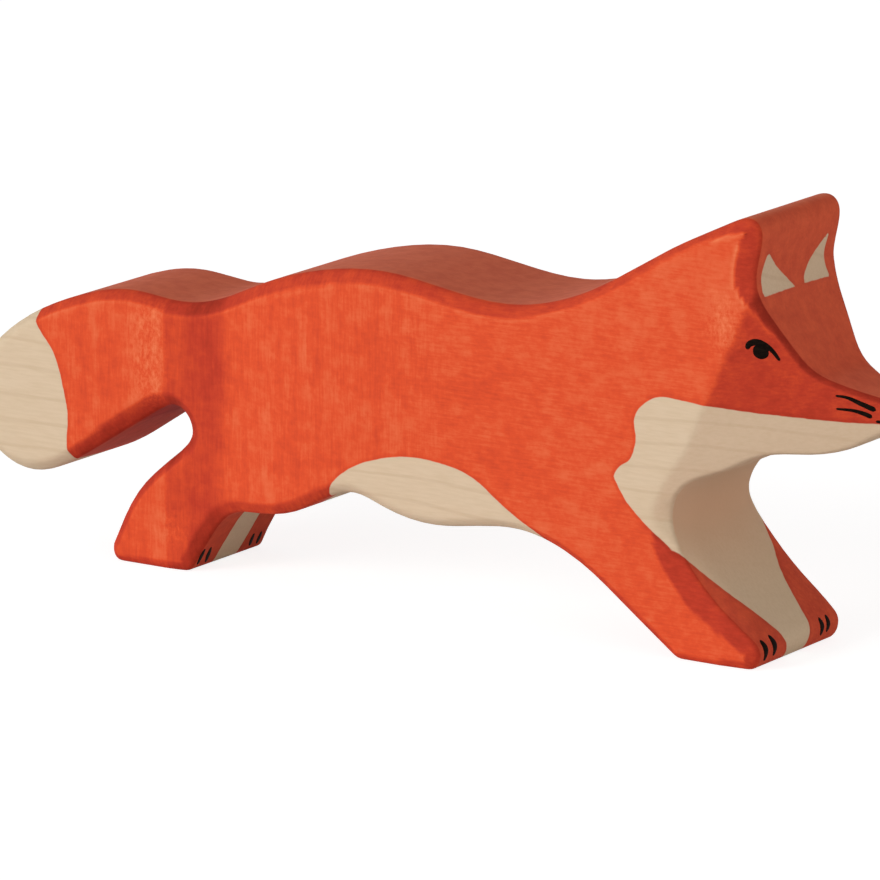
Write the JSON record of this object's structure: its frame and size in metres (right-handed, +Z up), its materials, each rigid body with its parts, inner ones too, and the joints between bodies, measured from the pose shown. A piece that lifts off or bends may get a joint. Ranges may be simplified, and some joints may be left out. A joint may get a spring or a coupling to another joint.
{
  "type": "fox figurine",
  "caption": "Running fox sawn as one outline from a wooden board, with bevelled edges, carved cheek flats and black brushed eyes, whiskers, nose and claws. It stands on its two flat soles.",
  "frame": {"origin": "on the floor, under the middle of the fox's length and thickness", "axes": "+X forwards to the nose, +Y to the fox's left, +Z up"},
  "size_m": [0.161, 0.024, 0.0671],
  "materials": {
    "stained_wood": "red-orange stain, matte, with bare pale wood at the tail tip, belly, bib, ears and leg stripes",
    "black_paint": "brushed black paint, satin"
  },
  "bodies": {
    "root": {"wooden_body": "stained_wood", "eye_right": "black_paint", "eye_left": "black_paint", "whiskers_right": "black_paint", "whiskers_left": "black_paint", "nose_and_mouth": "black_paint", "claws_front_right": "black_paint", "claws_front_left": "black_paint", "claws_hind_right": "black_paint", "claws_hind_left": "black_paint"}
  },
  "joints": []
}
